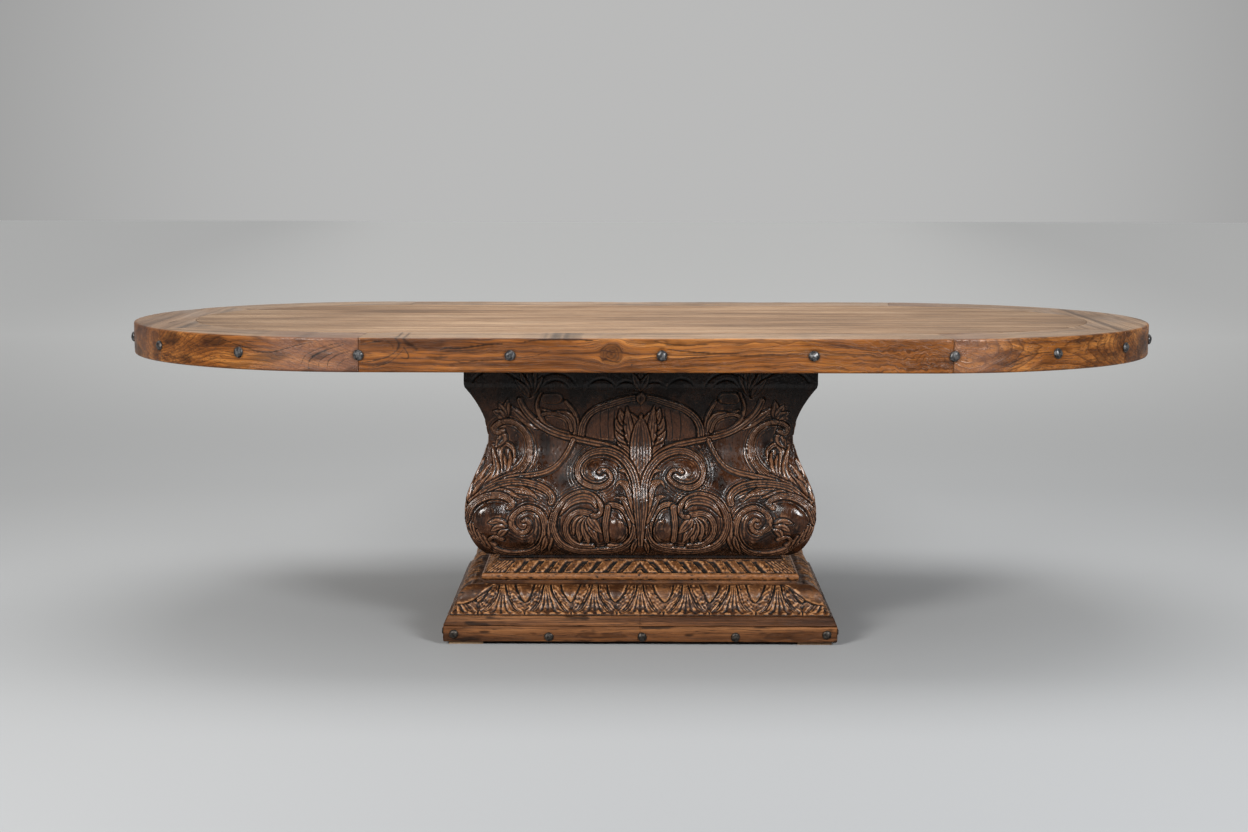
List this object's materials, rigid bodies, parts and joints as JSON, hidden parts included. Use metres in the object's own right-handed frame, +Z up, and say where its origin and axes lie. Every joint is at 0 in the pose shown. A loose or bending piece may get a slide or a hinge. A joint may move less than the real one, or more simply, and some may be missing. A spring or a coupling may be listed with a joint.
{
  "type": "carved pedestal table",
  "caption": "Dining table with a racetrack-shaped plank top in a nailed rim, on one waisted rectangular pedestal with carved panels, gadroon and leaf mouldings and a stepped plinth.",
  "frame": {"origin": "on the floor, under the middle of the table top", "axes": "+X along the top's long side, +Y towards the back, +Z up"},
  "size_m": [2.54, 1.2366, 0.765],
  "materials": {
    "plank_wood": "waxed walnut long-grain boards, satin, paler and greyer than the rim",
    "rim_wood": "waxed honey-brown walnut with dark streaks and knots, satin, worn edges",
    "carved_walnut": "dark walnut, polished and worn on the high points, nearly black in the recesses",
    "moulding_wood": "mid-brown walnut, hand polished, dark glaze in the cuts",
    "hidden_wood": "unfinished sawn softwood, matte",
    "forged_iron": "hammered dark forged iron, burnished on top"
  },
  "bodies": {
    "root": {"base_board": "moulding_wood", "batten_left": "hidden_wood", "batten_right": "hidden_wood", "cap_board": "hidden_wood", "carved_panel_back": "carved_walnut", "carved_panel_front": "carved_walnut", "carved_panel_left": "carved_walnut", "carved_panel_right": "carved_walnut", "deck_board": "hidden_wood", "foot_back_left": "hidden_wood", "foot_back_right": "hidden_wood", "foot_front_left": "hidden_wood", "foot_front_right": "hidden_wood", "gadroon_moulding_back": "moulding_wood", "gadroon_moulding_front": "moulding_wood", "gadroon_moulding_left": "moulding_wood", "gadroon_moulding_right": "moulding_wood", "ogee_moulding_back": "moulding_wood", "ogee_moulding_front": "moulding_wood", "ogee_moulding_left": "moulding_wood", "ogee_moulding_right": "moulding_wood", "plinth_fascia_back": "moulding_wood", "plinth_fascia_front": "moulding_wood", "plinth_fascia_left": "moulding_wood", "plinth_fascia_right": "moulding_wood", "rim_back": "rim_wood", "rim_front": "rim_wood", "rim_left_back": "rim_wood", "rim_left_end": "rim_wood", "rim_left_front": "rim_wood", "rim_nail_01": "forged_iron", "rim_nail_02": "forged_iron", "rim_nail_03": "forged_iron", "rim_nail_04": "forged_iron", "rim_nail_05": "forged_iron", "rim_nail_06": "forged_iron", "rim_nail_07": "forged_iron", "rim_nail_08": "forged_iron", "rim_nail_09": "forged_iron", "rim_nail_10": "forged_iron", "rim_nail_11": "forged_iron", "rim_nail_12": "forged_iron", "rim_nail_13": "forged_iron", "rim_nail_14": "forged_iron", "rim_nail_15": "forged_iron", "rim_nail_16": "forged_iron", "rim_nail_17": "forged_iron", "rim_nail_18": "forged_iron", "rim_nail_19": "forged_iron", "rim_nail_20": "forged_iron", "rim_nail_21": "forged_iron", "rim_nail_22": "forged_iron", "rim_right_back": "rim_wood", "rim_right_end": "rim_wood", "rim_right_front": "rim_wood", "top_plank_1": "plank_wood", "top_plank_2": "plank_wood", "top_plank_3": "plank_wood", "top_plank_4": "plank_wood", "top_plank_5": "plank_wood"}
  },
  "joints": []
}
